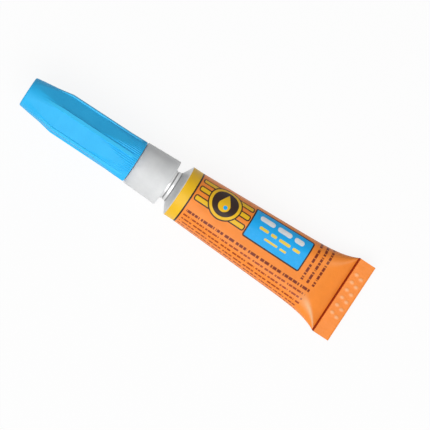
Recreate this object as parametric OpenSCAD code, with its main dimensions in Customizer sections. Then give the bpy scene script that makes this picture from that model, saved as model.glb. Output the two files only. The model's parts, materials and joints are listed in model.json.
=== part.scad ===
// Small collapsible metal glue tube with a screw-on nozzle and a screw cap.
// Sizes are in millimetres. Each piece is built upright along its own axis,
// from the folded end at z = 0 to the cap tip, then laid down as it rests:
// on the flat underside of the tapered sleeve, with the cap toward +X.

/* [Tube] */
// Outside diameter of the round end of the tube
tube_d = 12.7; // [12:0.1:14]
// Length of the printed sleeve, from the fold to the band
sleeve_len = 40.6; // [30:0.1:60]
// Thickness of the tube wall
wall = 0.12; // [0.08:0.01:0.2]
// Share of the flattening done by the long taper, before the pinch
taper_share = 0.52; // [0.4:0.01:0.65]
// Where the pinch begins, as a share of the sleeve
pinch_from = 0.5; // [0.4:0.01:0.6]
// How sharply the pinch closes at the fold
pinch_power = 5.5; // [4:0.1:7]

/* [End fold] */
// Length of the folded strip
fold_len = 4.3; // [3:0.1:7]
// Sealing film between the two flattened walls
film = 0.04; // [0.02:0.01:0.08]
// Air gap between the layers of the fold
fold_gap = 0.05; // [0.02:0.01:0.12]
// Length of the bead of sealant inside the pinch
bead_len = 1; // [0.6:0.1:2]

/* [Shoulder and neck] */
// Width of the straight band at the head of the tube
band_w = 2.55; // [1.5:0.05:5]
// Height of the cone between the band and the neck
shoulder_h = 1.45; // [1:0.05:3]
// Thickness of the shoulder, along the axis
shoulder_t = 0.6; // [0.4:0.05:0.9]
// Diameter of the neck over its thread
neck_d = 7.35; // [7:0.05:8]
// Diameter of the bore through the neck
neck_bore_d = 4.4; // [3.8:0.1:4.8]
// Height of the neck thread ridge
neck_ridge_h = 0.45; // [0.3:0.05:0.55]
// Climb of the neck thread in one turn
neck_lead = 1; // [0.9:0.05:1.4]
// Thickness of the foil membrane
membrane_t = 0.1; // [0.06:0.01:0.2]
// Depth of the membrane below the mouth of the neck
membrane_depth = 0.1; // [0.05:0.05:0.4]

/* [Nozzle] */
// Bare neck left between shoulder and collar, used up by piercing
pierce_gap = 1.6; // [1.2:0.1:2.4]
// Length of the collar
collar_len = 8.6; // [8:0.1:11]
// Diameter of the collar at the tube end
collar_base_d = 11.4; // [10.8:0.1:12.4]
// Diameter of the collar at the cap end
collar_top_d = 10.7; // [10.2:0.1:11.4]
// Thickness of the web between socket and spout
web_t = 1.4; // [1:0.1:2]
// Diameter of the cap boss over its ridges
boss_d = 8.1; // [7.7:0.1:8.4]
// Height of the cap boss
boss_h = 5.5; // [5:0.1:7]
// Diameter of the spout where it leaves the boss
spout_root_d = 4.8; // [4:0.1:5.4]
// Diameter of the spout at its tip
spout_tip_d = 2; // [1.7:0.1:2.6]
// Length of the spout above the boss
spout_len = 18.5; // [15:0.1:20]
// Diameter of the channel through spike and spout
channel_d = 1; // [0.9:0.05:1.2]
// Diameter of the piercing spike at the web
spike_root_d = 3.2; // [2.6:0.1:3.6]
// Diameter of the piercing spike at its point
spike_tip_d = 1.5; // [1.4:0.1:1.9]

/* [Cap] */
// Length of the cap
cap_len = 29.05; // [27.6:0.05:34]
// Diameter of the cap at its open end, under the ribs
cap_base_d = 10.3; // [10.2:0.05:10.8]
// Diameter of the cap's body where its tip starts to taper
cap_knee_d = 10.05; // [9.9:0.05:10.4]
// Diameter of the flat end of the cap, with its rounded edge
cap_tip_d = 7.3; // [6.6:0.1:8.4]
// Length of the tapered tip
cap_taper_len = 9.2; // [7:0.1:10]
// Radius of the edge round the flat end
cap_edge_r = 0.35; // [0.2:0.05:0.6]
// Wall of the cap behind its panels
cap_wall = 1.15; // [0.9:0.05:1.3]
// Thickness of the crown
crown_t = 1.5; // [1:0.1:2]
// Number of flat panels round the cap, with a raised land between each two
panel_count = 6; // [5:1:8]
// Depth of the panels below the round body
panel_depth = 0.3; // [0.15:0.01:0.4]
// Distance from the open end to where a panel has its full depth
panel_from = 12; // [9:0.1:14]
// Length over which a panel runs out toward the open end
panel_runout = 11; // [8:0.1:14]
// Height of the lands above the body at the start of the taper
land_h = 0.25; // [0.15:0.01:0.35]
// Width of the lands
land_w = 0.85; // [0.6:0.05:1.2]
// Turn of the first land away from straight up
land_turn = 9; // [0:1:30]
// Number of fine grip ribs
rib_count = 70; // [48:1:80]
// Height of the grip ribs
rib_h = 0.08; // [0.04:0.01:0.12]
// Length of the grip ribs
rib_len = 11; // [6:0.1:14]
// Diameter of the clearing pin
pin_d = 0.7; // [0.5:0.05:0.75]
// Depth of the clearing pin inside the spout
pin_reach = 4; // [2:0.1:8]
// Diameter of the boss that holds the clearing pin
pin_boss_d = 2.6; // [2:0.1:3.4]
// Height of the cap thread ridges
cap_ridge_h = 0.45; // [0.3:0.05:0.5]
// Climb of the cap thread in one turn
cap_lead = 4; // [3.4:0.1:5]
// Number of starts of the cap thread
cap_starts = 2; // [1:1:2]

/* [Contents] */
// Height of the adhesive above the axis at the head of the tube
fill_rise = 0.2; // [0:0.05:1.5]

/* [Fits] */
// Clearance all round between mating threads
thread_gap = 0.1; // [0.06:0.01:0.14]
// Gap between the collar and the open end of the cap
seat_gap = 0.15; // [0.08:0.01:0.3]
// Radial clearance of the clearing pin in its hole
pin_gap = 0.02; // [0.01:0.01:0.05]
// Radial clearance of the membrane in the neck
membrane_gap = 0.02; // [0.01:0.01:0.06]
// Gap between contents and wall
fill_gap = 0.05; // [0.02:0.01:0.1]

/* [Hidden] */
// Radii of round pieces
tube_r = tube_d / 2;
neck_r = neck_d / 2;
neck_core_r = neck_r - neck_ridge_h;
bore_r = neck_bore_d / 2;
boss_r = boss_d / 2;
boss_core_r = boss_r - cap_ridge_h;
channel_r = channel_d / 2;
pin_r = pin_d / 2;
pin_hole_r = pin_r + pin_gap;
panel_plane_r = cap_knee_d / 2 - panel_depth;

// Flattened stack of two walls and film, and the spacing of its layers
stack = 2 * wall + film;
layer = stack + fold_gap;
fold_w = PI * tube_r - 0.1;

// Stations along the axis, from the folded end to the cap tip
z_band = fold_len + sleeve_len;
z_cone = z_band + band_w;
z_neck = z_cone + shoulder_h;
z_collar = z_neck + pierce_gap;
z_collar_top = z_collar + collar_len;
z_web = z_collar_top - web_t;
z_mouth = z_web - pierce_gap - 0.2;
z_membrane = z_mouth - membrane_depth - membrane_t;
z_spike = z_mouth - membrane_depth + 0.15;
z_boss = z_collar_top + boss_h;
z_spout = z_boss + spout_len;
z_cap = z_collar_top + seat_gap;
z_tip = z_cap + cap_len;
z_knee = z_tip - cap_taper_len;
z_crown = z_tip - crown_t;
z_pin_boss = z_spout + 0.6;
z_pin_hole = z_crown + 0.3;

// Resting attitude: the straight taper of the underside lies on the ground
flat_end = 1 - stack / tube_d;
rest_tilt = atan(tube_r * flat_end * taper_share / sleeve_len);
rest_lift = tube_r * cos(rest_tilt) - z_band * sin(rest_tilt);
top_of_fold = stack / 2 + 2 * layer;
x_first = -top_of_fold * sin(rest_tilt);
x_last = z_tip * cos(rest_tilt) + (cap_tip_d / 2 - cap_edge_r) * sin(rest_tilt);
x_middle = (x_first + x_last) / 2;

// Depth that joined shapes share inside one piece
sink = 0.12;
// Segments in a half circle of the sleeve and in one turn of a thread
arc_steps = 24;
turn_steps = 24;
// Stations of the sleeve along its straight taper and along its pinch
taper_steps = 1;
pinch_steps = 11;
$fn = 96;

// Share of the full flattening at height z of the sleeve
function flattening(z) =
    let (along = (z_band - z) / sleeve_len,
         pinch = max(0, (along - pinch_from) / (1 - pinch_from)))
    flat_end * (taper_share * along + (1 - taper_share) * pow(pinch, pinch_power));

// Outline of the sleeve at height z, drawn in by inset and cut off above level.
// The section keeps its girth: two half circles that move apart as they shrink.
function outline(z, inset, level) =
    let (share = max(0.001, flattening(z)),
         r = tube_r * (1 - share) - inset,
         apart = PI * tube_r / 2 * share,
         reach = 90 + asin(min(1, level / r)))
    [for (side = [0, 1], i = [0 : arc_steps])
        let (turn = 90 + reach * (side - 1 + i / arc_steps))
        [r * sin(turn), (side == 0 ? apart : -apart) + r * cos(turn), z]];

// Stations of the sleeve from height top down to height bottom, closer together toward the fold
function stations(top, bottom) =
    let (pinch_z = z_band - pinch_from * sleeve_len)
    concat([for (i = [0 : taper_steps - 1]) top + (pinch_z - top) * i / taper_steps],
           [for (i = [0 : pinch_steps]) bottom + (pinch_z - bottom) * pow(1 - i / pinch_steps, 1.6)]);

// Side faces between ring a and ring b of count points each, facing out when going down
function side_faces(a, b, count) =
    [for (i = [0 : count - 1], half = [0, 1])
        let (j = (i + 1) % count)
        half == 0 ? [a + j, a + i, b + i] : [b + j, a + j, b + i]];

// Same faces turned over
function turned(faces) = [for (f = faces) [f[2], f[1], f[0]]];

// Solid through a list of rings from the top ring down to the last
module loft(rings) {
    count = len(rings[0]);
    last = (len(rings) - 1) * count;
    points = [for (ring = rings, p = ring) p];
    sides = [for (k = [0 : len(rings) - 2], f = side_faces(k * count, (k + 1) * count, count)) f];
    top = [[for (i = [0 : count - 1]) i]];
    bottom = [[for (i = [count - 1 : -1 : 0]) last + i]];
    polyhedron(points, concat(sides, top, bottom));
}

// Closed cup through outer rings and inner rings, open at the top ring
module cup(outer, inner) {
    count = len(outer[0]);
    base = len(outer) * count;
    last_outer = base - count;
    last_inner = base + (len(inner) - 1) * count;
    points = concat([for (ring = outer, p = ring) p], [for (ring = inner, p = ring) p]);
    outside = [for (k = [0 : len(outer) - 2], f = side_faces(k * count, (k + 1) * count, count)) f];
    inside = [for (k = [0 : len(inner) - 2],
                   f = side_faces(base + k * count, base + (k + 1) * count, count)) f];
    rim = side_faces(0, base, count);
    end = [[for (i = [count - 1 : -1 : 0]) last_outer + i]];
    floor = [[for (i = [0 : count - 1]) last_inner + i]];
    polyhedron(points, concat(outside, turned(inside), turned(rim), end, floor));
}

// Helical ridge of trapezoid section, right-handed
module ridge(r_in, r_out, w_in, w_out, z_from, z_to, lead, start) {
    steps = ceil((z_to - z_from) / lead * turn_steps);
    points = [for (i = [0 : steps])
        let (z = z_from + (z_to - z_from) * i / steps,
             turn = start + 360 * (z - z_neck) / lead)
        for (corner = [[r_in, -w_in], [r_out, -w_out], [r_out, w_out], [r_in, w_in]])
            [corner[0] * cos(turn), corner[0] * sin(turn), z + corner[1] / 2]];
    sides = [for (k = [0 : steps - 1], f = side_faces(4 * k, 4 * (k + 1), 4)) f];
    polyhedron(points, concat(turned(sides), [[3, 2, 1, 0]],
        [[4 * steps, 4 * steps + 1, 4 * steps + 2, 4 * steps + 3]]));
}

// Ridge of the neck thread, or its groove when gap is not zero
module neck_thread(z_from, z_to, gap) {
    root = neck_lead * 0.56 + 2 * gap;
    crest = neck_lead * 0.2 + 2 * gap;
    slope = (root - crest) / neck_ridge_h;
    ridge(neck_core_r + gap - sink, neck_r + gap, root + slope * sink, crest,
        z_from, z_to, neck_lead, 0);
}

// Ridges of the cap thread, or their grooves when gap is not zero
module cap_thread(z_from, z_to, gap) {
    pitch = cap_lead / cap_starts;
    root = min(1, pitch * 0.48) + 2 * gap;
    crest = min(1, pitch * 0.48) * 0.45 + 2 * gap;
    slope = (root - crest) / cap_ridge_h;
    for (s = [0 : cap_starts - 1])
        ridge(boss_core_r + gap - sink, boss_r + gap, root + slope * sink, crest,
            z_from, z_to, cap_lead, s * 360 / cap_starts);
}

// Lay a piece down as the tube rests
module placed() {
    translate([-x_middle, 0, rest_lift])
        rotate([0, 90 - rest_tilt, 0])
            children();
}

// Printed wall that goes from round at the band to flat at the fold
module tube_sleeve() {
    color([0.99, 0.53, 0.25])
        placed()
            cup([for (z = stations(z_band, fold_len)) outline(z, 0, tube_d)],
                [for (z = stations(z_band, fold_len + 0.35)) outline(z, wall, tube_d)]);
}

// Band, conical shoulder and threaded neck with its bore
module tube_head() {
    relief_z = z_neck + 0.45 * pierce_gap;
    inner_z = z_neck - shoulder_t;
    color([0.8, 0.8, 0.82])
        placed()
            union() {
                rotate_extrude()
                    polygon([
                        [tube_r - wall, z_band],
                        [tube_r, z_band],
                        [tube_r, z_cone],
                        [neck_r + 0.3, z_neck - 0.15],
                        [neck_r, z_neck + 0.15],
                        [neck_r, relief_z],
                        [neck_r - 0.25, relief_z + 0.1],
                        [neck_r - 0.25, relief_z + 0.25],
                        [neck_r, relief_z + 0.35],
                        [neck_r, z_collar - 0.1],
                        [neck_core_r, z_collar - 0.1 + neck_ridge_h],
                        [neck_core_r, z_mouth - 0.2],
                        [neck_core_r - 0.2, z_mouth],
                        [bore_r, z_mouth],
                        [bore_r, inner_z],
                        [tube_r - wall, z_cone - shoulder_t],
                    ]);
                neck_thread(z_collar + 1, z_mouth - 0.8, 0);
            }
}

// Half ring of the fold profile, on the far side of the centre
module bend(r_mid) {
    difference() {
        circle(r_mid + stack / 2);
        circle(r_mid - stack / 2);
        translate([-2 * layer - stack, 0])
            square([4 * layer + 2 * stack, 2 * layer + stack]);
    }
}

// Strip of the flattened end, folded over twice
module end_fold() {
    far = layer + stack / 2;
    near = fold_len - layer / 2 - stack / 2 - 0.05;
    color([0.97, 0.52, 0.26])
        placed()
            translate([0, fold_w / 2, 0])
                rotate([90, 0, 0])
                    linear_extrude(fold_w) {
                        translate([-stack / 2, far])
                            square([stack, fold_len - far]);
                        translate([-layer, far])
                            bend(layer);
                        translate([-2 * layer - stack / 2, far])
                            square([stack, near - far]);
                        translate([-1.5 * layer, near])
                            mirror([0, 1])
                                bend(layer / 2);
                        translate([-layer - stack / 2, far + 0.2])
                            square([stack, near - far - 0.2]);
                    }
}

// Bead of sealing compound squeezed into the pinch
module end_sealant() {
    from = fold_len + 0.45;
    color([0.93, 0.9, 0.8])
        placed()
            loft([for (i = [0 : 4])
                outline(from + bead_len * (1 - i / 4), wall + fill_gap, tube_d)]);
}

// Foil that seals the neck until the spike pushes it in
module membrane() {
    color([0.86, 0.86, 0.88])
        placed()
            translate([0, 0, z_membrane])
                cylinder(h = membrane_t, r = bore_r - membrane_gap);
}

// Liquid adhesive, level as the tube lies
module adhesive() {
    bottom = fold_len + 0.45 + bead_len + fill_gap;
    top = z_band + 0.6 * band_w;
    color([0.94, 0.95, 0.93])
        placed()
            loft(concat(
                [[for (p = outline(z_band, wall + fill_gap, fill_rise)) [p[0], p[1], top]]],
                [for (z = stations(z_band, bottom))
                    outline(z, wall + fill_gap, fill_rise + (top - z) * tan(rest_tilt))]));
}

// Collar, web, piercing spike, cap boss and spout in one moulding. The mouth of the
// socket is wide enough to go over the bare neck when the nozzle is screwed down.
module nozzle() {
    socket_r = neck_core_r + thread_gap;
    relief_r = neck_r + thread_gap + 0.1;
    color([0.9, 0.91, 0.92])
        placed()
            difference() {
                union() {
                    rotate_extrude()
                        polygon([
                            [socket_r, z_collar + pierce_gap + 0.6],
                            [relief_r, z_collar + pierce_gap],
                            [relief_r, z_collar],
                            [collar_base_d / 2 - 0.15, z_collar],
                            [collar_base_d / 2, z_collar + 0.15],
                            [collar_top_d / 2, z_collar_top - 0.15],
                            [collar_top_d / 2 - 0.15, z_collar_top],
                            [boss_core_r, z_collar_top],
                            [boss_core_r, z_boss - 0.3],
                            [boss_core_r - 0.3, z_boss],
                            [spout_root_d / 2, z_boss],
                            [spout_tip_d / 2, z_spout],
                            [channel_r, z_spout],
                            [channel_r, z_spike],
                            [spike_tip_d / 2, z_spike],
                            [spike_root_d / 2, z_web],
                            [socket_r, z_web],
                        ]);
                    cap_thread(z_collar_top + 1.2, z_boss - 1.2, 0);
                }
                neck_thread(z_collar + pierce_gap - 0.6, z_mouth - 0.8 + pierce_gap + 0.4, thread_gap);
            }
}

// Radius of the tapered tip at a distance from its flat end
function tip_r(back) =
    cap_tip_d / 2 + (cap_knee_d - cap_tip_d) / 2 * (back - cap_edge_r) / (cap_taper_len - cap_edge_r);

// Round body of the cap with its tapered tip
module cap_body() {
    rotate_extrude()
        polygon([
            [0, z_cap],
            [cap_base_d / 2, z_cap],
            [cap_base_d / 2, z_cap + 0.6],
            [cap_knee_d / 2 + 0.05, z_cap + 5],
            [cap_knee_d / 2, z_knee],
            [cap_tip_d / 2, z_tip - cap_edge_r],
            [cap_tip_d / 2 - cap_edge_r, z_tip],
            [0, z_tip],
        ]);
}

// Fine grip ribs at the open end, sinking into the body at their upper ends
module ribs() {
    crest = cap_base_d / 2 + rib_h;
    root = cap_base_d / 2 - rib_h;
    intersection() {
        translate([0, 0, z_cap])
            linear_extrude(rib_len)
                polygon([for (i = [0 : 2 * rib_count - 1])
                    let (r = i % 2 == 0 ? crest : root)
                    [r * cos(180 * i / rib_count), r * sin(180 * i / rib_count)]]);
        translate([0, 0, z_cap])
            cylinder(h = rib_len, r1 = crest + 0.4, r2 = cap_knee_d / 2 - 0.05);
    }
}

// Cuts for the flat panels: full depth along the body, meeting the cone near its end
// and running out through the ribs at the open end
module panels() {
    slope = (cap_base_d / 2 + rib_h - panel_plane_r) / panel_runout;
    for (i = [0 : panel_count - 1])
        rotate([0, 0, 360 * (i + 0.5) / panel_count + 180 + land_turn])
            rotate([90, 0, 0])
                linear_extrude(8, center = true)
                    polygon([
                        [panel_plane_r, z_cap + panel_from],
                        [panel_plane_r + slope * (panel_from + 1), z_cap - 1],
                        [8, z_cap - 1],
                        [8, z_tip + 1],
                        [tip_r(1.6), z_tip + 1],
                        [tip_r(1.6), z_tip - 1.6],
                        [panel_plane_r, z_knee],
                    ]);
}

// Raised lands between the panels, fading into the ribs and into the tip
module lands() {
    for (i = [0 : panel_count - 1])
        rotate([0, 0, 360 * i / panel_count + 180 + land_turn])
            rotate([90, 0, 0])
                linear_extrude(land_w, center = true)
                    polygon([
                        [cap_base_d / 2 - 0.5, z_cap + 0.8],
                        [cap_base_d / 2 - 0.1, z_cap + 0.8],
                        [cap_base_d / 2 + rib_h + 0.1, z_cap + 1.8],
                        [cap_knee_d / 2 + land_h, z_knee],
                        [tip_r(1.8) - 0.1, z_tip - 1.8],
                        [tip_r(1.8) - 0.6, z_tip - 1.8],
                        [cap_knee_d / 2 - 0.5, z_knee],
                    ]);
}

// Hollow of the cap, round the boss, the spout and the pin boss
module cap_hollow() {
    thread_r = boss_core_r + thread_gap;
    rotate_extrude()
        polygon([
            [0, z_cap - 1],
            [boss_r + thread_gap + 0.15, z_cap - 1],
            [boss_r + thread_gap + 0.15, z_cap],
            [thread_r, z_cap + 0.5],
            [thread_r, z_boss + 0.5],
            [panel_plane_r - cap_wall, z_knee],
            [cap_tip_d / 2 - cap_wall, z_crown],
            [pin_boss_d / 2, z_crown],
            [pin_boss_d / 2, z_pin_boss],
            [pin_hole_r, z_pin_boss],
            [pin_hole_r, z_pin_hole],
            [0, z_pin_hole],
        ]);
}

// Screw cap with grip ribs, flat panels and raised lands
module cap() {
    color([0.29, 0.76, 0.99])
        placed()
            difference() {
                union() {
                    difference() {
                        union() {
                            cap_body();
                            ribs();
                        }
                        panels();
                    }
                    lands();
                }
                cap_hollow();
                cap_thread(z_cap - 1.2, z_boss - 1.2 + 0.3, thread_gap);
            }
}

// Pin that keeps the spout clear
module cap_pin() {
    color([0.75, 0.75, 0.77])
        placed()
            translate([0, 0, z_spout - pin_reach])
                cylinder(h = z_pin_hole - 0.05 - z_spout + pin_reach, r = pin_r);
}

tube_sleeve();
tube_head();
end_fold();
end_sealant();
membrane();
adhesive();
nozzle();
cap();
cap_pin();
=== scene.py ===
"""Looks of a small metal glue tube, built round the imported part.

Lengths are millimetres until to_row turns them into metres, and angles are radians unless a name says otherwise.
"""

import json
import math

import bmesh
import bpy
import numpy as np
from mathutils import Matrix, Vector


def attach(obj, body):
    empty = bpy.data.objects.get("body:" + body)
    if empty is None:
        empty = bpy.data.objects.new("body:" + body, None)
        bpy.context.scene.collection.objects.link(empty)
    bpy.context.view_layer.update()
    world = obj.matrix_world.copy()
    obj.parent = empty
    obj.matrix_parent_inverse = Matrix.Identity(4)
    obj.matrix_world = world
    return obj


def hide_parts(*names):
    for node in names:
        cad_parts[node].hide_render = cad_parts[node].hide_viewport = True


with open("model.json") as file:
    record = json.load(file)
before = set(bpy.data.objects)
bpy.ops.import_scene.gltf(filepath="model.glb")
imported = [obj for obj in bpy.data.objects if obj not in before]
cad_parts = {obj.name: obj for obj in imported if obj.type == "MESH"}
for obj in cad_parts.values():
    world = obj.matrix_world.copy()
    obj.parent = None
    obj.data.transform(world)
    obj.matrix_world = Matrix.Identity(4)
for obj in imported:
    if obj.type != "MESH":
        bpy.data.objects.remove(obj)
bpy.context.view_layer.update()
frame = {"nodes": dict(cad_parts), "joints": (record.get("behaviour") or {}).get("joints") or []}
scene = bpy.context.scene
MM = 0.001

# Sizes of the tube, as the part's source has them
TUBE_R = 6.35
HALF_GIRTH = math.pi * TUBE_R
WALL = 0.12
STACK = 0.28
LAYER = 0.33
FOLD_LEN = 4.3
FOLD_W = HALF_GIRTH - 0.1
SLEEVE_LEN = 40.6
TAPER_SHARE = 0.52
PINCH_FROM = 0.5
PINCH_POWER = 5.5
FLAT_END = 1 - STACK / (2 * TUBE_R)
BAND_W = 2.55
CONE_H = 1.45
SHOULDER_T = 0.6
BORE_R = 2.2
NECK_R = 3.675
NECK_CORE_R = 3.225
NECK_LEAD = 1.0
NECK_ROOT_W = 0.56
NECK_CREST_W = 0.2
THREAD_GAP = 0.1

# Sizes of the nozzle
NECK_GAP = 1.6
COLLAR_H = 8.6
COLLAR_R = 5.7
COLLAR_TOP_R = 5.35
WEB_T = 1.4
MOUTH_ROOM = 1.8
SPIKE_GAP = 0.05
SPIKE_R = 1.6
SPIKE_TIP_R = 0.75
BOSS_H = 5.5
BOSS_R = 4.05
BOSS_CORE_R = 3.6
SPOUT_LEN = 18.5
SPOUT_R = 2.4
SPOUT_TIP_R = 1.0
SPOUT_BORE_R = 0.5

# Sizes of the cap and its pin
CAP_GAP = 0.15
CAP_LEN = 29.05
CAP_LEAD = 4.0
CAP_STARTS = 2
CAP_ROOT_W = 0.96
CAP_CREST_W = 0.43
CAP_BASE_R = 5.15
CAP_KNEE_R = 5.025
CAP_TIP_R = 3.65
CAP_EDGE_R = 0.35
CAP_TAPER = 9.2
CAP_WALL = 1.15
CROWN_T = 1.5
PANEL_R = CAP_KNEE_R - 0.5
PANEL_COUNT = 6
PANEL_FROM = 12.0
PANEL_RUNOUT = 11.0
PANEL_END = 1.6
LAND_H = 0.25
LAND_W = 0.85
LAND_END = 1.8
LAND_TURN_DEG = 9.0
RIB_COUNT = 70
RIB_H = 0.08
RIB_LEN = 11.0
RIB_VALLEY = 0.06
RIB_SINK = 0.05
RIB_FALL = 0.4
PIN_R = 0.35
PIN_FIT = 0.02
PIN_BOSS_R = 1.3
PIN_BOSS_GAP = 0.6
PIN_SINK = 0.3
PIN_IN_SPOUT = 4

# Fineness of the meshes: longest row, and columns round a turned piece
HEAD_STEP = 0.12
NOZZLE_STEP = 0.18
CAP_STEP = 0.45
CAP_BORE_STEP = 0.2
PIN_STEP = 0.3
SIDES = 200
PIN_SIDES = 48
PANEL_SIDES = 24
SLEEVE_ROWS = 170
SLEEVE_COLUMNS = 260
FOLD_COLUMNS = 200
FOLD_STEP = 0.1

# Stations along the axis, from the folded end
Z_BAND = FOLD_LEN + SLEEVE_LEN
Z_CONE = Z_BAND + BAND_W
Z_NECK = Z_CONE + CONE_H
Z_COLLAR = Z_NECK + NECK_GAP
Z_COLLAR_TOP = Z_COLLAR + COLLAR_H
Z_HINGE = Z_COLLAR + COLLAR_H / 2
Z_WEB = Z_COLLAR_TOP - WEB_T
Z_MOUTH = Z_WEB - MOUTH_ROOM
Z_SPIKE = Z_MOUTH + SPIKE_GAP
Z_BOSS = Z_COLLAR_TOP + BOSS_H
Z_SPOUT = Z_BOSS + SPOUT_LEN
Z_CAP = Z_COLLAR_TOP + CAP_GAP
Z_TIP = Z_CAP + CAP_LEN
Z_KNEE = Z_TIP - CAP_TAPER
Z_CROWN = Z_TIP - CROWN_T
Z_PIN_BOSS = Z_SPOUT + PIN_BOSS_GAP
Z_PIN_HOLE = Z_CROWN + PIN_SINK

# Axis of the tube in the row frame, read from the nozzle's hinge
TURN = next(j for j in frame["joints"] if j["name"] == "nozzle_turn")
AXIS = np.array(Vector(TURN["axis"]).normalized())
ACROSS = np.array((0.0, 1.0, 0.0))
UP = np.cross(AXIS, ACROSS)
START = np.array(TURN["pos_m"]) - AXIS * Z_HINGE * MM


def to_row(points):
    """Points (up, across, along) in millimetres, as points of the row frame in metres."""
    p = np.asarray(points, float) * MM
    return START + p[..., :1] * UP + p[..., 1:2] * ACROSS + p[..., 2:] * AXIS


def smoothstep(low, high, x):
    t = np.clip((x - low) / (high - low), 0, 1)
    return t * t * (3 - 2 * t)


def soft_min(a, b, round_mm):
    """Smaller of a and b, with the corner between them rounded."""
    mix = np.clip(0.5 + 0.5 * (b - a) / round_mm, 0, 1)
    return b + (a - b) * mix - round_mm * mix * (1 - mix)


def grid_object(name, points, uv, materials, body, nodes, wrap, sharp=35, index=None, marks=None):
    """Mesh piece from a grid of rows and columns. Columns close on themselves; rows do where wrap is set.
    index gives each row its material, and marks are values that the mesh carries at its points."""
    rows, cols = points.shape[:2]
    verts = to_row(points).reshape(-1, 3)
    r, c = np.meshgrid(np.arange(rows if wrap else rows - 1), np.arange(cols), indexing="ij")
    r2, c2 = (r + 1) % rows, (c + 1) % cols
    faces = np.stack([r * cols + c, r * cols + c2, r2 * cols + c2, r2 * cols + c], -1).reshape(-1, 4).tolist()
    corner_uv = np.stack([uv[r, c], uv[r, c + 1], uv[r + 1, c + 1], uv[r + 1, c]], 2).reshape(-1, 2).tolist()
    face_material = [0] * len(faces) if index is None else np.repeat(index, cols).tolist()
    if not wrap:
        for row, order in ((0, range(cols - 1, -1, -1)), (rows - 1, range(cols))):
            faces.append([row * cols + k for k in order])
            corner_uv += [list(uv[row, k]) for k in order]
            face_material.append(face_material[0 if row == 0 else -1])
    mesh = bpy.data.meshes.new(name)
    mesh.from_pydata(verts.tolist(), [], faces)
    layer = mesh.uv_layers.new(name="print")
    layer.data.foreach_set("uv", np.asarray(corner_uv, np.float32).ravel())
    for look in materials:
        mesh.materials.append(look)
    mesh.polygons.foreach_set("material_index", face_material)
    for key, value in (marks or {}).items():
        carried = mesh.attributes.new(key, "FLOAT", "POINT")
        carried.data.foreach_set("value", value.astype(np.float32).ravel())
    finish_mesh(name, mesh, body, nodes, sharp)


def finish_mesh(name, mesh, body, nodes, sharp):
    """Weld, turn faces outward, smooth, and hand the piece to its body."""
    work = bmesh.new()
    work.from_mesh(mesh)
    bmesh.ops.remove_doubles(work, verts=work.verts, dist=2e-7)
    bmesh.ops.dissolve_degenerate(work, edges=work.edges, dist=1e-8)
    bmesh.ops.recalc_face_normals(work, faces=work.faces)
    work.to_mesh(mesh)
    work.free()
    mesh.shade_smooth()
    mesh.set_sharp_from_angle(angle=math.radians(sharp))
    piece = bpy.data.objects.new(name, mesh)
    scene.collection.objects.link(piece)
    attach(piece, body)
    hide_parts(*nodes)


def rounded(corners, steps=5):
    """Polyline through corners (r, z, radius), each corner rounded to its radius."""
    out = []
    count = len(corners)
    for i, (x, y, radius) in enumerate(corners):
        here = np.array((x, y))
        before = np.array(corners[i - 1][:2]) - here
        after = np.array(corners[(i + 1) % count][:2]) - here
        if radius == 0:
            out.append(here)
            continue
        lengths = np.linalg.norm(before), np.linalg.norm(after)
        a, b = before / lengths[0], after / lengths[1]
        half = math.acos(max(-1, min(1, float(a @ b)))) / 2
        cut = min(radius / math.tan(half), 0.45 * min(lengths))
        for k in range(steps + 1):
            t = k / steps
            out.append(here + a * cut * (1 - t) ** 2 + b * cut * t ** 2)
    return np.array(out)


def dense(line, step, closed=True):
    """The polyline with no span longer than step."""
    out = []
    ends = line if closed else line[:-1]
    for i, p in enumerate(ends):
        q = line[(i + 1) % len(line)]
        n = max(1, int(math.ceil(np.linalg.norm(q - p) / step)))
        out += [p + (q - p) * k / n for k in range(n)]
    if not closed:
        out.append(line[-1])
    return np.array(out)


def lathe(name, corners, sides, step, materials, body, nodes, shape=None, paint=None, sharp=35, marks=None):
    """Turned piece from a closed outline of corners (r, z, radius), with a count of sides or a list of their turns.
    shape moves its surface, may shift its turns and may fill in marks; paint picks materials."""
    line = dense(rounded(corners), step)
    first = np.arange(sides) / sides * 2 * math.pi if isinstance(sides, int) else np.asarray(sides)
    turn = np.repeat(first[None], len(line), 0)
    r = np.repeat(line[:, :1], len(first), 1)
    z = np.repeat(line[:, 1:], len(first), 1)
    if shape:
        r, turn = shape(r, z, turn, line)
    points = np.stack([r * np.cos(turn), r * np.sin(turn), z], -1)
    spans = np.linalg.norm(np.diff(line, axis=0, append=line[:1]), axis=1)
    length = np.concatenate([[0], np.cumsum(spans)])
    around = np.append(first, first[0] + 2 * math.pi) * TUBE_R
    uv = np.stack(np.meshgrid(around, length), -1)
    index = paint(line) if paint else None
    grid_object(name, points, uv, materials, body, nodes, True, sharp, index, marks)


# Shader building

def add(tree, kind, settings=None, **inputs):
    """New node with settings and inputs; an input given as a socket is linked, a plain value is set."""
    made = tree.nodes.new(kind)
    for key, value in (settings or {}).items():
        setattr(made, key, value)
    for key, value in inputs.items():
        put(tree, made.inputs[key.replace("_", " ")], value)
    return made


def put(tree, socket, value):
    if isinstance(value, bpy.types.NodeSocket):
        tree.links.new(value, socket)
    else:
        socket.default_value = value


def maths(tree, operation, *values):
    made = tree.nodes.new("ShaderNodeMath")
    made.operation = operation
    for socket, value in zip(made.inputs, values):
        put(tree, socket, value)
    return made.outputs[0]


def blend(tree, factor, a, b, kind="MIX"):
    """Colour a where factor is 0, and b, or a times b, where it is 1."""
    made = tree.nodes.new("ShaderNodeMix")
    made.data_type = "RGBA"
    made.blend_type = kind
    put(tree, made.inputs[0], factor)
    put(tree, made.inputs[6], a)
    put(tree, made.inputs[7], b)
    return made.outputs[2]


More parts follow.
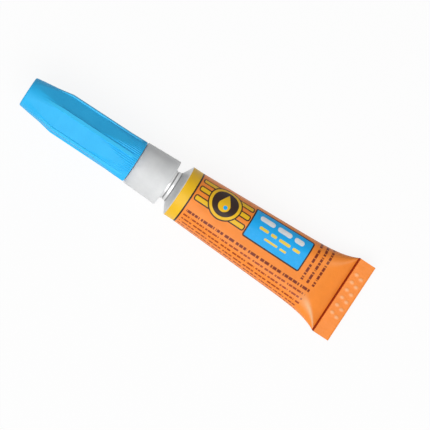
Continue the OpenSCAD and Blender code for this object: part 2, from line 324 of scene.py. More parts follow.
def spread(tree, value, from_low, from_high, low, high):
    made = add(tree, "ShaderNodeMapRange", None, Value=value, From_Min=from_low, From_Max=from_high,
               To_Min=low, To_Max=high)
    return made.outputs[0]


def rgb(red, green, blue):
    """Colour as it shows on screen, 0 to 255, in the linear values that shaders take."""
    def linear(v):
        v /= 255
        return v / 12.92 if v <= 0.04045 else ((v + 0.055) / 1.055) ** 2.4
    return (linear(red), linear(green), linear(blue), 1)


def material(name, **sockets):
    made = bpy.data.materials.new(name)
    made.use_nodes = True
    tree = made.node_tree
    shader = next(n for n in tree.nodes if n.type == "BSDF_PRINCIPLED")
    for key, value in sockets.items():
        shader.inputs[key.replace("_", " ")].default_value = value
    return made, tree, shader


def attribute(tree, name):
    """Value that a mesh carries at its points."""
    return add(tree, "ShaderNodeAttribute", {"attribute_name": name}).outputs["Fac"]


def place_mm(tree):
    """Position on the piece in millimetres."""
    coord = add(tree, "ShaderNodeTexCoord").outputs["Object"]
    return add(tree, "ShaderNodeMapping", None, Vector=coord, Scale=(1 / MM,) * 3).outputs[0]


def print_uv(tree, stretch=(1, 1, 1)):
    """Position in the piece's own map in millimetres: across it, then along it, each times its stretch."""
    uv = add(tree, "ShaderNodeUVMap", {"uv_map": "print"}).outputs[0]
    return add(tree, "ShaderNodeMapping", None, Vector=uv, Scale=stretch).outputs[0]


def noise(tree, where, scale, detail=3, rough=0.55):
    made = add(tree, "ShaderNodeTexNoise", None, Vector=where, Scale=scale, Detail=detail, Roughness=rough)
    return made.outputs[0]


def clouds(tree, where, scale):
    """Soft patches from 0 to 1."""
    return spread(tree, noise(tree, where, scale), 0.3, 0.75, 0, 1)


def roughen(tree, shader, pattern, low, high, pattern_high=0.7):
    """Roughness from low to high as the pattern rises."""
    tree.links.new(spread(tree, pattern, 0.3, pattern_high, low, high), shader.inputs["Roughness"])


def bump(tree, shader, height, depth_mm, strength, under=None):
    """Fine relief, on top of the normal under where that is given."""
    made = add(tree, "ShaderNodeBump", None, Height=height, Distance=depth_mm * MM, Strength=strength)
    if under is not None:
        tree.links.new(under, made.inputs["Normal"])
    tree.links.new(made.outputs[0], shader.inputs["Normal"])
    return made.outputs[0]


# Colours

ORANGE = rgb(255, 146, 54)
# Pale orange for the painted highlight on the creases by the fold, and for the stamped bumps' tops, which are part
# wear and part painted highlight
ORANGE_PALE = rgb(255, 206, 158)
GOLD = rgb(248, 196, 36)
GOLD_PALE = rgb(246, 212, 80)
DARK = rgb(44, 24, 16)
BLUE = rgb(28, 178, 250)
INK = rgb(160, 62, 8)
INK_BOLD = rgb(124, 42, 4)
# Painted shade in the crevice between the sleeve and the folded strip
CREVICE_SHADE = rgb(178, 60, 10)
WHITE = rgb(240, 243, 246)
ENAMEL_CLOUD = (0.92, 0.91, 0.9, 1)
METAL = rgb(228, 228, 228)
METAL_DULL = rgb(208, 209, 210)
# Painted shade in the neck's grooves
METAL_GROOVE_SHADE = rgb(104, 103, 102)
FROST = rgb(236, 239, 240)
FROST_DULL = rgb(226, 229, 231)
CAP_BLUE = rgb(46, 190, 250)
CAP_BLUE_DULL = rgb(38, 182, 244)
# Painted highlight on the cap's lands
LAND_HIGHLIGHT_BLUE = rgb(74, 212, 255)

# Layout of the print: a box is its two ends across from the top line, then its two ends along from the folded end

PANEL_BOX = (-7.2, 0.3, 15.2, 30.2)
BARS = ((-6.1, -4.7, ((17.0, 19.6), (20.3, 24.1), (24.8, 28.8)), WHITE),
        (-3.6, -2.8, ((16.9, 18.9), (19.5, 22.6), (23.2, 24.8), (25.4, 27.9)), GOLD_PALE),
        (-1.8, -1.2, ((19.6, 21.4), (22.0, 25.6)), GOLD_PALE))
STRIPES = ((-6.5, -5.4), (-4.0, -2.9), (-1.5, -0.4))
STRIPE_ENDS = (30.9, 43.9)
DISC = (-3.45, 37.3, 3.9)
DISC_RIM = 0.72
DROP = (-2.8, 37.3, 1.5, 3.2)
SPOT = (-2.55, 36.85, 0.55)
# Blocks of dashes that run along the tube: box, pitch of the rows, seed, half height of a dash, ink
DASHES = (((2.1, 3.45, 10.2, 44.0), 1.35, 3.0, 0.25, INK_BOLD),
          ((3.45, 9.0, 10.6, 44.0), 1.2, 5.0, 0.19, INK),
          ((11.6, 18.4, 12.0, 43.0), 1.36, 21.0, 0.18, INK),
          ((-18.4, -12.6, 14.0, 42.0), 1.45, 33.0, 0.18, INK))
# Block of dashes that run across it
CROSS_DASHES = ((-9.4, 1.5, 9.4, 14.1), 1.57, 11.0, 0.2, INK_BOLD)
# Shift from row to row, and how many long and short gaps a millimetre of a row has
ROW_SHIFT = 37.7
WORD_SCALE = 0.3
DASH_SCALE = 0.85
# Painted shade along the crevice of the fold, and a dark line against the band: from where to where each fades
CREVICE_SHADE_LINE = (FOLD_LEN + 0.3, FOLD_LEN + 0.16)
FOLD_CREVICE_SHADE_LINE = (FOLD_LEN - 0.28, FOLD_LEN - 0.18)
BAND_LINE = (Z_BAND - 0.44, Z_BAND - 0.36)


def box_distance(tree, x, y, box, radius):
    """Distance outside a rounded box, negative inside."""
    def beyond(value, low, high):
        off_centre = maths(tree, "ABSOLUTE", maths(tree, "SUBTRACT", value, (low + high) / 2))
        return maths(tree, "SUBTRACT", off_centre, (high - low) / 2 - radius)

    dx, dy = beyond(x, *box[:2]), beyond(y, *box[2:])
    ox, oy = maths(tree, "MAXIMUM", dx, 0.0), maths(tree, "MAXIMUM", dy, 0.0)
    outside = maths(tree, "SQRT", maths(tree, "MULTIPLY_ADD", ox, ox, maths(tree, "MULTIPLY", oy, oy)))
    inside = maths(tree, "MINIMUM", maths(tree, "MAXIMUM", dx, dy), 0.0)
    return maths(tree, "SUBTRACT", maths(tree, "ADD", outside, inside), radius)


def disc_distance(tree, x, y, cx, cy, radius):
    dx, dy = maths(tree, "SUBTRACT", x, cx), maths(tree, "SUBTRACT", y, cy)
    far = maths(tree, "SQRT", maths(tree, "MULTIPLY_ADD", dx, dx, maths(tree, "MULTIPLY", dy, dy)))
    return maths(tree, "SUBTRACT", far, radius)


def ink_inside(tree, distance, grow=0.0, soft=0.05):
    """1 where distance is below grow, with a soft edge."""
    return spread(tree, distance, grow + soft, grow - soft, 0, 1)


def drop_ink(tree, x, y, cx, cy, radius, reach):
    """Falling drop: a disc with a point at reach above its centre, toward lower x."""
    lean = math.asin(radius / reach)
    side = maths(tree, "ABSOLUTE", maths(tree, "SUBTRACT", y, cy))
    above = maths(tree, "SUBTRACT", cx, x)
    slope = maths(tree, "MULTIPLY_ADD", side, math.cos(lean),
                  maths(tree, "MULTIPLY_ADD", above, math.sin(lean), -radius))
    wedge = maths(tree, "MAXIMUM", slope, maths(tree, "SUBTRACT", radius * math.sin(lean), above))
    return maths(tree, "MINIMUM", wedge, disc_distance(tree, x, y, cx, cy, radius))


def small_rows(tree, across, along, first, pitch, seed, tall):
    """Rows of plain dashes of mixed length: rows step in across, dashes run in along."""
    row = maths(tree, "DIVIDE", maths(tree, "SUBTRACT", across, first), pitch)
    inside = maths(tree, "ABSOLUTE", maths(tree, "SUBTRACT", maths(tree, "FRACT", row), 0.5))
    line = spread(tree, inside, tall + 0.04, tall - 0.04, 0, 1)
    shifted = maths(tree, "MULTIPLY_ADD", maths(tree, "FLOOR", row), ROW_SHIFT, maths(tree, "ADD", along, seed))

    def gaps(scale):
        cells = add(tree, "ShaderNodeTexVoronoi", {"voronoi_dimensions": "1D", "feature": "DISTANCE_TO_EDGE"},
                    W=shifted, Scale=scale)
        return cells.outputs["Distance"]

    words = spread(tree, gaps(WORD_SCALE), 0.05, 0.08, 0, 1)
    dashes = spread(tree, gaps(DASH_SCALE), 0.07, 0.12, 0.2, 1)
    return maths(tree, "MULTIPLY", maths(tree, "MULTIPLY", line, words), dashes)


def enamel(name, picture):
    """Satin printed enamel on thin metal. picture gives the colour from the print map."""
    made, tree, shader = material(name, IOR=1.45, Specular_IOR_Level=0.28, Coat_Weight=0.05, Coat_Roughness=0.2)
    where = place_mm(tree)
    uv = add(tree, "ShaderNodeSeparateXYZ", None, Vector=print_uv(tree))
    colour = picture(tree, uv.outputs[0], uv.outputs[1])
    colour = blend(tree, clouds(tree, where, 0.35), colour, ENAMEL_CLOUD, "MULTIPLY")
    tree.links.new(colour, shader.inputs["Base Color"])
    roughen(tree, shader, noise(tree, where, 2.2, 5, 0.65), 0.36, 0.5, 0.8)
    peel = bump(tree, shader, noise(tree, where, 5.0, 2), 0.012, 0.5)
    bump(tree, shader, noise(tree, where, 0.55, 2), 0.16, 0.55, peel)
    return made


def sleeve_picture(tree, across, along):
    """Orange ground with plain generic shapes: a disc on stripes, a blue panel with bars, and rows of dashes."""
    colour = ORANGE

    def shape(distance, outline, paint):
        nonlocal colour
        if outline:
            colour = blend(tree, ink_inside(tree, distance, outline), colour, DARK)
        colour = blend(tree, ink_inside(tree, distance, -0.05), colour, paint)

    def dashed(box, rows, ink):
        nonlocal colour
        block = ink_inside(tree, box_distance(tree, across, along, box, 0.02))
        colour = blend(tree, maths(tree, "MULTIPLY", rows, block), colour, ink)

    # Blue panel with a dark outline and rows of plain bars
    shape(box_distance(tree, across, along, PANEL_BOX, 0.3), 0.3, BLUE)
    for x0, x1, runs, paint in BARS:
        for run in runs:
            shape(box_distance(tree, across, along, (x0, x1, *run), (x1 - x0) / 2 - 0.05), 0, paint)
    # Gold stripes that pass behind a dark disc with a gold rim, a drop and a blue spot
    for stripe in STRIPES:
        shape(box_distance(tree, across, along, (*stripe, *STRIPE_ENDS), 0.35), 0.24, GOLD)
    disc = disc_distance(tree, across, along, *DISC)
    shape(disc, 0.26, GOLD)
    colour = blend(tree, ink_inside(tree, disc, -DISC_RIM), colour, DARK)
    shape(drop_ink(tree, across, along, *DROP), 0, GOLD)
    shape(disc_distance(tree, across, along, *SPOT), 0, BLUE)
    # Rows of dashes along the lower side and on the back, and across before the fold
    for box, pitch, seed, tall, ink in DASHES:
        dashed(box, small_rows(tree, across, along, box[0], pitch, seed, tall), ink)
    box, pitch, seed, tall, ink = CROSS_DASHES
    dashed(box, small_rows(tree, along, across, box[2], pitch, seed, tall), ink)
    # Painted highlight on the creases beside the fold, painted shade in the crevice of the fold, and a dark line
    # against the band
    colour = blend(tree, maths(tree, "MULTIPLY", attribute(tree, "crease_highlight"), 0.85), colour, ORANGE_PALE)
    colour = blend(tree, spread(tree, along, *CREVICE_SHADE_LINE, 0, 1), colour, CREVICE_SHADE)
    return blend(tree, spread(tree, along, *BAND_LINE, 0, 1), colour, DARK)


def fold_picture(tree, across, along):
    """Orange ground; the stamped bumps' tops paler, partly as wear and partly as a painted highlight, and painted
    shade in the crevice.
    """
    colour = blend(tree, maths(tree, "MULTIPLY", attribute(tree, "stamped"), 0.55), ORANGE, ORANGE_PALE)
    return blend(tree, spread(tree, along, *FOLD_CREVICE_SHADE_LINE, 0, 1), colour, CREVICE_SHADE)


def gold_picture(tree, across, along):
    return GOLD


def bare_aluminium():
    """Turned metal with faint rings, and painted shade darkening its grooves."""
    made, tree, shader = material("bare_aluminium", Metallic=0.6)
    metal = blend(tree, clouds(tree, place_mm(tree), 0.7), METAL, METAL_DULL)
    # Painted shade in the grooves, from the groove mark
    tree.links.new(blend(tree, attribute(tree, "groove"), metal, METAL_GROOVE_SHADE), shader.inputs["Base Color"])
    rings = noise(tree, print_uv(tree, (0.02, 1, 1)), 9.0, 4, 0.7)
    roughen(tree, shader, rings, 0.36, 0.54)
    bump(tree, shader, rings, 0.02, 0.7)
    return made


def frosted_plastic():
    """Milky plastic that light scatters through."""
    made, tree, shader = material("frosted_plastic", IOR=1.46, Subsurface_Weight=1.0, Subsurface_Scale=0.006,
                                  Subsurface_Radius=(1, 1, 1))
    where = place_mm(tree)
    tree.links.new(blend(tree, clouds(tree, where, 0.4), FROST, FROST_DULL), shader.inputs["Base Color"])
    grain = noise(tree, where, 16.0, 3, 0.7)
    roughen(tree, shader, grain, 0.38, 0.52)
    bump(tree, shader, grain, 0.008, 0.6)
    return made


def cap_plastic():
    """Blue plastic, with a painted highlight on the raised lands."""
    made, tree, shader = material("blue_plastic", IOR=1.46, Specular_IOR_Level=0.35)
    where = place_mm(tree)
    colour = blend(tree, clouds(tree, where, 0.25), CAP_BLUE, CAP_BLUE_DULL)
    # Painted highlight on the lands
    colour = blend(tree, maths(tree, "MULTIPLY", attribute(tree, "land"), 0.4), colour, LAND_HIGHLIGHT_BLUE)
    tree.links.new(colour, shader.inputs["Base Color"])
    grain = noise(tree, where, 11.0, 4, 0.7)
    roughen(tree, shader, grain, 0.44, 0.58)
    bump(tree, shader, grain, 0.01, 0.5)
    return made


def plain(name, light, dark, rough, metallic, grain, depth, **sockets):
    """Material of two close tones with fine grain."""
    made, tree, shader = material(name, Metallic=metallic, **sockets)
    where = place_mm(tree)
    tree.links.new(blend(tree, clouds(tree, where, grain / 8), light, dark), shader.inputs["Base Color"])
    fine = noise(tree, where, grain, 3, 0.65)
    roughen(tree, shader, fine, rough - 0.06, rough + 0.06)
    bump(tree, shader, fine, depth, 0.5)
    return made


# Sleeve and folded end

ROW_CROWDING = 1.25
DENT_COUNT = 16
DENT_SEED = 7
# Ranges of the dents: place round from the top line and along the tube, then width, length and depth
DENT_ROUND = (-12, 12)
DENT_ALONG = (7, 38)
DENT_WIDE = (1.5, 3.5)
DENT_LONG = (3, 8)
DENT_DEEP = (0.02, 0.09)
STAMP_COUNT = 6
STAMP_FROM = -6.3
STAMP_PITCH = 2.04
STAMP_H = 0.09
# Rows of stamped bumps: place along the tube, shift across it
STAMP_ROWS = ((2.85, 0.0), (1.4, 0.45))


def flattening(along):
    """How far the sleeve is pressed flat, from 0 at the band to nearly 1 at the fold."""
    share = (Z_BAND - along) / SLEEVE_LEN
    pinch = np.clip((share - PINCH_FROM) / (1 - PINCH_FROM), 0, None)
    return FLAT_END * (TAPER_SHARE * share + (1 - TAPER_SHARE) * pinch ** PINCH_POWER)


def sleeve_point(arc, along):
    """Place on the sleeve's surface at arc millimetres round from the top line: (up, across, along)."""
    share = flattening(along)
    r = TUBE_R * (1 - share)
    apart = HALF_GIRTH / 2 * share
    side, far = np.sign(arc), np.abs(arc)
    bend = np.clip((far - apart) / np.maximum(r, 1e-6), 0, math.pi)
    past = np.clip(far - apart - math.pi * r, 0, None)
    across = np.minimum(far, apart) + r * np.sin(bend) - past
    return np.stack([r * np.cos(bend), side * across, along + 0 * arc], -1)


def make_sleeve():
    share = np.linspace(0, 1, SLEEVE_ROWS)
    along = Z_BAND - SLEEVE_LEN * (1 - (1 - share) ** ROW_CROWDING)
    arc = (np.arange(SLEEVE_COLUMNS) / SLEEVE_COLUMNS * 2 - 1) * HALF_GIRTH
    a, z = np.meshgrid(arc, along)
    points = sleeve_point(a, z)
    # Shallow dents of handling, only inward
    rng = np.random.default_rng(DENT_SEED)
    near_end = smoothstep(0.02, 0.2, share)[:, None] * smoothstep(1.0, 0.9, share)[:, None]
    dent = np.zeros_like(a)
    for _ in range(DENT_COUNT):
        ca, cz = rng.uniform(*DENT_ROUND), rng.uniform(*DENT_ALONG)
        wide, long, deep = rng.uniform(*DENT_WIDE), rng.uniform(*DENT_LONG), rng.uniform(*DENT_DEEP)
        dent += deep * np.exp(-((a - ca) / wide) ** 2 - ((z - cz) / long) ** 2)
    share_flat = flattening(z)
    r = TUBE_R * (1 - share_flat)
    points[..., 0] *= 1 - dent * near_end / np.maximum(r, 1.0)
    # Painted highlight on the creases from the corners of the fold, between the flats and the round sides,
    # strongest on the lit top side
    apart = HALF_GIRTH / 2 * share_flat
    from_top = np.minimum(np.abs(a), HALF_GIRTH - np.abs(a))
    back = z - FOLD_LEN
    wide = 0.12 + 0.14 * back
    # Strength of the painted highlight: full on the lit top side, weak on the shaded top side, some on the
    # underside
    highlight_strength = np.where(np.abs(a) < HALF_GIRTH / 2, np.where(a > 0, 1.0, 0.2), 0.4)
    crease_highlight = highlight_strength * np.exp(-((from_top - apart + 0.1 * wide) / wide) ** 2) * smoothstep(8.5, 3.0, back)
    uv = np.stack(np.meshgrid(np.append(arc, HALF_GIRTH), np.append(along, along[-1])), -1)
    grid_object("sleeve", points, uv, [enamel("printed_enamel", sleeve_picture)],
                "tube", ["tube_sleeve"], False, 40, marks={"crease_highlight": crease_highlight})


def make_fold():
    """Strip folded over twice, as one closed outline drawn across the tube."""
    far = LAYER + STACK / 2
    near = FOLD_LEN - LAYER / 2 - STACK / 2 - 0.05
    middle = [(0.0, FOLD_LEN)]
    middle += [(LAYER - LAYER * math.cos(t), far - LAYER * math.sin(t)) for t in np.linspace(0, math.pi, 14)]
    middle += [(1.5 * LAYER + LAYER / 2 * math.cos(t), near + LAYER / 2 * math.sin(t))
               for t in np.linspace(0, math.pi, 12)]
    middle.append((LAYER, far + 0.2))
    line = dense(np.array(middle), FOLD_STEP, closed=False)
    run = np.gradient(line, axis=0)
    run /= np.linalg.norm(run, axis=1)[:, None]
    out = np.stack([-run[:, 1], run[:, 0]], -1) * STACK / 2
    loop = np.concatenate([line + out, (line - out)[::-1]])
    across = np.linspace(-FOLD_W / 2, FOLD_W / 2, FOLD_COLUMNS)
    up = np.repeat(loop[None, :, 0], FOLD_COLUMNS, 0)
    wide, along = np.meshgrid(across, loop[:, 1], indexing="ij")
    # Two rows of stamped bumps on the upper face
    stamped = np.zeros_like(up)
    for k in range(STAMP_COUNT):
        for row, shift in STAMP_ROWS:
            off = np.hypot(wide - (STAMP_FROM + STAMP_PITCH * k + shift), 0.75 * (along - row))
            stamped += smoothstep(0.6, 0.12, off)
    stamped *= up > 2 * LAYER + STACK / 2 - 0.01
    points = np.stack([up + STAMP_H * stamped, wide, along], -1)
    uv = np.zeros((FOLD_COLUMNS + 1, len(loop) + 1, 2))
    uv[..., 0] = np.append(across, across[-1])[:, None]
    uv[..., 1] = np.append(loop[:, 1], loop[0, 1])[None]
    grid_object("folded_end", points, uv, [enamel("fold_enamel", fold_picture)],
                "tube", ["end_fold"], False, 30, marks={"stamped": stamped})


# Head, nozzle, cap and pin

def helix_ridge(z, turn, lead, starts, root, crest):
    """0 between the ridges of a right-handed thread and 1 on their crests."""
    pitch = lead / starts
    off = (z - Z_NECK - lead * (0.5 - turn / (2 * math.pi))) % pitch
    off = np.minimum(off, pitch - off)
    return 1 - smoothstep(crest / 2, root / 2, off)


def neck_thread(z, turn, gap=0.0):
    """Ridge of the neck, or with a gap the groove that takes it, as a height."""
    ridge = helix_ridge(z, turn, NECK_LEAD, 1, NECK_ROOT_W + 2 * gap, NECK_CREST_W + 2 * gap)
    return (NECK_R - NECK_CORE_R) * ridge


def cap_thread(z, turn, gap=0.0):
    """Ridges of the nozzle's boss, or with a gap the grooves that take them, as a height."""
    ridge = helix_ridge(z, turn, CAP_LEAD, CAP_STARTS, CAP_ROOT_W + 2 * gap, CAP_CREST_W + 2 * gap)
    return (BOSS_R - BOSS_CORE_R) * ridge


def on_radius(line, radius):
    """Rows of the outline that lie on a straight wall of that radius."""
    return (np.abs(line[:, 0] - radius) < 0.01)[:, None]


def make_head():
    relief = Z_NECK + 0.72
    relief_r = NECK_R - 0.25
    corners = [
        (TUBE_R - WALL, Z_BAND, 0), (TUBE_R, Z_BAND, 0), (TUBE_R, Z_CONE, 0.25),
        (NECK_R + 0.3, Z_NECK - 0.15, 0.5), (NECK_R, Z_NECK + 0.15, 0.3), (NECK_R, relief, 0.05),
        (relief_r, relief + 0.1, 0.06), (relief_r, relief + 0.25, 0.06), (NECK_R, relief + 0.35, 0.05),
        (NECK_R, Z_COLLAR - 0.1, 0.08), (NECK_CORE_R, Z_COLLAR + 0.35, 0.1), (NECK_CORE_R, Z_MOUTH - 0.2, 0.05),
        (NECK_CORE_R - 0.2, Z_MOUTH, 0.05), (BORE_R, Z_MOUTH, 0.05), (BORE_R, Z_NECK - SHOULDER_T, 0.1),
        (TUBE_R - WALL, Z_CONE - SHOULDER_T, 0.1)]
    marks = {}

    def thread(r, z, turn, line):
        # Painted shade in the neck's relief groove and at the foot of the neck
        lines = np.exp(-((z - relief - 0.17) / 0.1) ** 2) + np.exp(-((z - Z_NECK - 0.02) / 0.12) ** 2)
        marks["groove"] = 0.85 * np.clip(lines, 0, 1) * (r > BORE_R + 0.5)
        ends = smoothstep(Z_COLLAR + 0.9, Z_COLLAR + 1.2, z) * smoothstep(Z_MOUTH - 0.7, Z_MOUTH - 1.0, z)
        return r + on_radius(line, NECK_CORE_R) * ends * neck_thread(z, turn), turn

    def paint(line):
        gold = (line[:, 0] > TUBE_R - 0.02) & (line[:, 1] < Z_CONE - 0.06)
        return np.where(gold, 0, 1)

    lathe("head", corners, SIDES, HEAD_STEP, [enamel("gold_enamel", gold_picture), bare_aluminium()],
          "tube", ["tube_head"], thread, paint, marks=marks)


def make_nozzle():
    socket_r = NECK_CORE_R + THREAD_GAP
    relief_r = NECK_R + THREAD_GAP + 0.1
    corners = [
        (socket_r, Z_COLLAR + 2.2, 0.1), (relief_r, Z_COLLAR + 1.6, 0.1), (relief_r, Z_COLLAR, 0.06),
        (COLLAR_R, Z_COLLAR, 0.2), (COLLAR_TOP_R, Z_COLLAR_TOP, 0.2), (BOSS_CORE_R, Z_COLLAR_TOP, 0.15),
        (BOSS_CORE_R, Z_BOSS, 0.3), (SPOUT_R, Z_BOSS, 0.4), (SPOUT_TIP_R, Z_SPOUT, 0.15),
        (SPOUT_BORE_R, Z_SPOUT, 0.08), (SPOUT_BORE_R, Z_SPIKE, 0.05), (SPIKE_TIP_R, Z_SPIKE, 0.05),
        (SPIKE_R, Z_WEB, 0.1), (socket_r, Z_WEB, 0.1)]

    def thread(r, z, turn, line):
        ends = smoothstep(Z_COLLAR_TOP + 0.9, Z_COLLAR_TOP + 1.5, z) * smoothstep(Z_BOSS - 0.9, Z_BOSS - 1.5, z)
        ridge = on_radius(line, BOSS_CORE_R) * ends * cap_thread(z, turn)
        ends = smoothstep(Z_WEB - 0.3, Z_WEB - 0.6, z)
        groove = on_radius(line, socket_r) * ends * neck_thread(z, turn, THREAD_GAP)
        return r + ridge + groove, turn

    lathe("nozzle_moulding", corners, SIDES, NOZZLE_STEP, [frosted_plastic()], "nozzle",
          ["nozzle"], thread)


def tip_r(back):
    """Radius of the cap's tapered tip at a distance from its flat end."""
    return CAP_TIP_R + (CAP_KNEE_R - CAP_TIP_R) * (back - CAP_EDGE_R) / (CAP_TAPER - CAP_EDGE_R)


def make_cap():
    thread_r = BOSS_CORE_R + THREAD_GAP
    pin_hole_r = PIN_R + PIN_FIT
    bore_rows = np.arange(Z_BOSS + 0.2, Z_CAP + 0.6, -CAP_BORE_STEP)
    corners = [
        (CAP_BASE_R, Z_CAP, 0.06), (CAP_BASE_R, Z_CAP + 0.6, 0.2), (CAP_KNEE_R + 0.05, Z_CAP + 5, 1.0),
        (CAP_KNEE_R, Z_KNEE, 1.2), (tip_r(0), Z_TIP, 0.4), (0, Z_TIP, 0),
        (0, Z_PIN_HOLE, 0), (pin_hole_r, Z_PIN_HOLE, 0), (pin_hole_r, Z_PIN_BOSS, 0.05),
        (PIN_BOSS_R, Z_PIN_BOSS, 0.1), (PIN_BOSS_R, Z_CROWN, 0.2), (CAP_TIP_R - CAP_WALL, Z_CROWN, 0.4),
        (PANEL_R - CAP_WALL, Z_KNEE, 1.0), (thread_r, Z_BOSS + 0.5, 0.2),
        *((thread_r, z, 0) for z in bore_rows), (thread_r, Z_CAP + 0.5, 0.05),
        (BOSS_R + THREAD_GAP + 0.15, Z_CAP, 0.05)]
    step = 2 * math.pi / PANEL_COUNT
    land = math.radians(-LAND_TURN_DEG)

    # Columns of one panel, closer together at the edges of its land
    half = LAND_W / 2
    near = np.array([0, 0.15, 0.28, half - 0.06, half - 0.03, half - 0.01,
                     half + 0.015, half + 0.04, 0.53, 0.62, 0.75]) / CAP_BASE_R
    edge = near[-1]
    side = np.concatenate([near, np.linspace(edge, step / 2, PANEL_SIDES + 1)[1:]])
    one = np.concatenate([-side[-2:0:-1], side])
    turns = np.concatenate([land + step * k + one for k in range(PANEL_COUNT)])
    marks = {}

    def shape(r, z, turn, line):
        tip = int(np.argmax(line[:, 1] > Z_TIP - 0.001))
        outer = (np.arange(len(line)) <= tip)[:, None]
        bore = on_radius(line, thread_r) & ~outer
        # Lands keep their width, so their columns spread where the body is thinner
        off = (turn - land + step / 2) % step - step / 2
        wide = np.where(outer, CAP_BASE_R / np.maximum(r, CAP_TIP_R), 1.0)
        past_edge = edge * wide + (np.abs(off) - edge) * (step / 2 - edge * wide) / (step / 2 - edge)
        spread_off = np.where(np.abs(off) <= edge, off * wide, np.sign(off) * past_edge)
        moved = turn + spread_off - off
        # Grip ribs that sink into the body at their upper ends
        up = z - Z_CAP
        wave = np.abs((moved * RIB_COUNT / (2 * math.pi)) % 1 - 0.5) * 4 - 1
        crest, sunk = CAP_BASE_R + RIB_H, CAP_KNEE_R - RIB_SINK
        limit = np.minimum(np.interp(up, [0, 0.12, RIB_LEN], [CAP_BASE_R, crest, sunk]),
                           crest + RIB_FALL - up * (crest + RIB_FALL - sunk) / RIB_LEN)
        valley = RIB_VALLEY * smoothstep(RIB_LEN, RIB_LEN - 4, up) * smoothstep(0.1, 0.5, up)
        ribs = CAP_BASE_R + RIB_H * (1.6 * wave - 0.6)
        ribbed = np.maximum(r - valley, np.minimum(ribs, limit) * (up < RIB_LEN))
        # Flat panels that follow the taper and run out through the ribs
        slope = (crest - PANEL_R) / PANEL_RUNOUT
        flat = np.interp(up, [-1, PANEL_FROM, Z_KNEE - Z_CAP, CAP_LEN - PANEL_END],
                         [PANEL_R + slope * (PANEL_FROM + 1), PANEL_R, PANEL_R, tip_r(PANEL_END)])
        across = step / 2 - np.abs(spread_off)
        panelled = soft_min(ribbed, flat / np.cos(across), 0.05)
        # Raised lands with crisp edges
        top = np.interp(up, [0.8, 1.8, Z_KNEE - Z_CAP, CAP_LEN - LAND_END],
                        [CAP_BASE_R - 0.1, crest + 0.1, CAP_KNEE_R + LAND_H, tip_r(LAND_END) - 0.1], 0, 0)
        beside = np.abs(spread_off) * np.maximum(r, CAP_TIP_R)
        inside = smoothstep(half + 0.03, half - 0.05, beside)
        lift = np.maximum(top / np.cos(spread_off) - panelled, 0) * inside
        # Mark of the painted highlight on the lands
        marks["land"] = np.where(outer, smoothstep(0.02, 0.12, lift), 0.0)
        moulded = np.where(r > CAP_TIP_R - 0.5, panelled + lift, r)
        grooved = r + cap_thread(z, turn, THREAD_GAP) * smoothstep(Z_BOSS - 0.6, Z_BOSS - 1.2, z)
        return np.where(outer, moulded, np.where(bore, grooved, r)), moved

    lathe("screw_cap", corners, turns, CAP_STEP, [cap_plastic()], "cap", ["cap"], shape,
          sharp=40, marks=marks)


def make_pin():
    steel = plain("pin_steel", rgb(196, 196, 200), rgb(178, 178, 184), 0.3, 1.0, 9.0, 0.006)
    foot, head = Z_SPOUT - PIN_IN_SPOUT, Z_PIN_HOLE - 0.05
    corners = [(0, foot, 0), (PIN_R, foot, 0.2), (PIN_R, head, 0.05), (0, head, 0)]
    lathe("clearing_pin", corners, PIN_SIDES, PIN_STEP, [steel], "cap_pin", ["cap_pin"])


make_sleeve()
make_fold()
make_head()
make_nozzle()
make_cap()
make_pin()

# Pieces that no view shows keep their solids and get a plain look
HIDDEN = {
    "membrane": plain("foil", rgb(216, 216, 220), rgb(200, 200, 205), 0.3, 1.0, 8.0, 0.008),
    "adhesive": plain("clear_adhesive", rgb(236, 238, 232), rgb(226, 230, 222), 0.12, 0.0, 2.0, 0.004, IOR=1.45),
    "end_sealant": plain("latex_sealant", rgb(232, 224, 196), rgb(220, 210, 178), 0.7, 0.0, 5.0, 0.02),
}
for node_name, look in HIDDEN.items():
    node = frame["nodes"][node_name]
    node.data.materials.clear()
    node.data.materials.append(look)

# Floor, light and camera, in metres, with lens and sensor in millimetres

FLOOR_HALF = 1.2
FLOOR_DROP = 0.00005
FLOOR_GREY = (0.9, 0.9, 0.9, 1)
FLOOR_WHITE = 0.9
SKY = 0.2
KEY_PLACE = (-0.19, 0.48, 1.0)
KEY_SIZE = 1.3
KEY_POWER = 13.4

# The photograph's size and scale in pixels, and its right-hand side in the row frame
IMAGE = 430
PX_PER_MM = 4.398
IMAGE_RIGHT = (-0.835, -0.550, 0)
# How far its centre lies to the right of the middle of the tube's axis, and up from it
OFF_RIGHT_PX = 24.15
OFF_UP_PX = -16.5
LENS = 180
SENSOR = 36


def looked_at(tree):
    """1 for rays that show the stage to the camera, by sight, by gloss or through glass."""
    rays = add(tree, "ShaderNodeLightPath").outputs
    mirrored = maths(tree, "MAXIMUM", rays["Is Glossy Ray"], rays["Is Transmission Ray"])
    return maths(tree, "MAXIMUM", rays["Is Camera Ray"], mirrored)


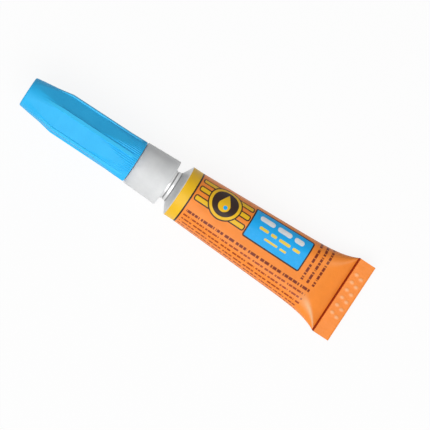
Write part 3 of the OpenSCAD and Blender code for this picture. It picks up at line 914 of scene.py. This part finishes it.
def make_floor():
    """Pale floor that looks white and keeps a soft shadow."""
    mesh = bpy.data.meshes.new("floor")
    corners = [(x * FLOOR_HALF, y * FLOOR_HALF, 0) for x, y in ((-1, -1), (1, -1), (1, 1), (-1, 1))]
    mesh.from_pydata(corners, [], [(0, 1, 2, 3)])
    floor = bpy.data.objects.new("floor", mesh)
    floor.location.z = -FLOOR_DROP
    scene.collection.objects.link(floor)
    look, tree, shader = material("floor", Base_Color=FLOOR_GREY, Roughness=0.9, Specular_IOR_Level=0.1)
    white = add(tree, "ShaderNodeEmission", None, Color=(1, 1, 1, 1), Strength=1.0)
    both = tree.nodes.new("ShaderNodeMixShader")
    put(tree, both.inputs[0], maths(tree, "MULTIPLY", looked_at(tree), FLOOR_WHITE))
    tree.links.new(shader.outputs[0], both.inputs[1])
    tree.links.new(white.outputs[0], both.inputs[2])
    output = next(n for n in tree.nodes if n.type == "OUTPUT_MATERIAL")
    tree.links.new(both.outputs[0], output.inputs[0])
    mesh.materials.append(look)


def make_sky():
    """Weak even light, white where it is looked at."""
    world = bpy.data.worlds.new("studio")
    scene.world = world
    world.use_nodes = True
    tree = world.node_tree
    ground = tree.nodes["Background"]
    ground.inputs["Color"].default_value = (1, 1, 1, 1)
    put(tree, ground.inputs["Strength"], maths(tree, "MULTIPLY_ADD", looked_at(tree), 1 - SKY, SKY))


def make_key():
    """One broad lamp aimed at the tube."""
    data = bpy.data.lights.new("key", "AREA")
    data.shape = "DISK"
    data.size = KEY_SIZE
    data.energy = KEY_POWER
    key = bpy.data.objects.new("key", data)
    scene.collection.objects.link(key)
    key.location = KEY_PLACE
    key.rotation_mode = "QUATERNION"
    key.rotation_quaternion = (-Vector(KEY_PLACE)).to_track_quat("-Z", "Y")


def make_camera():
    """Long lens straight above the tube, turned as the photograph is."""
    right = np.array(IMAGE_RIGHT) / np.linalg.norm(IMAGE_RIGHT)
    up = np.array((-right[1], right[0], 0))
    middle = to_row((0, 0, Z_TIP / 2))
    centre = middle + (right * OFF_RIGHT_PX + up * OFF_UP_PX) / PX_PER_MM * MM
    distance = IMAGE / PX_PER_MM * MM * LENS / SENSOR
    data = bpy.data.cameras.new("camera")
    data.lens = LENS
    data.sensor_width = SENSOR
    data.clip_start = 0.01
    data.clip_end = 20
    camera = bpy.data.objects.new("camera", data)
    scene.collection.objects.link(camera)
    camera.rotation_mode = "QUATERNION"
    camera.rotation_quaternion = Matrix((right, up, (0, 0, 1))).transposed().to_quaternion()
    camera.location = (centre[0], centre[1], middle[2] + distance)
    scene.camera = camera


make_floor()
make_sky()
make_key()
make_camera()
scene.view_settings.view_transform = "Standard"
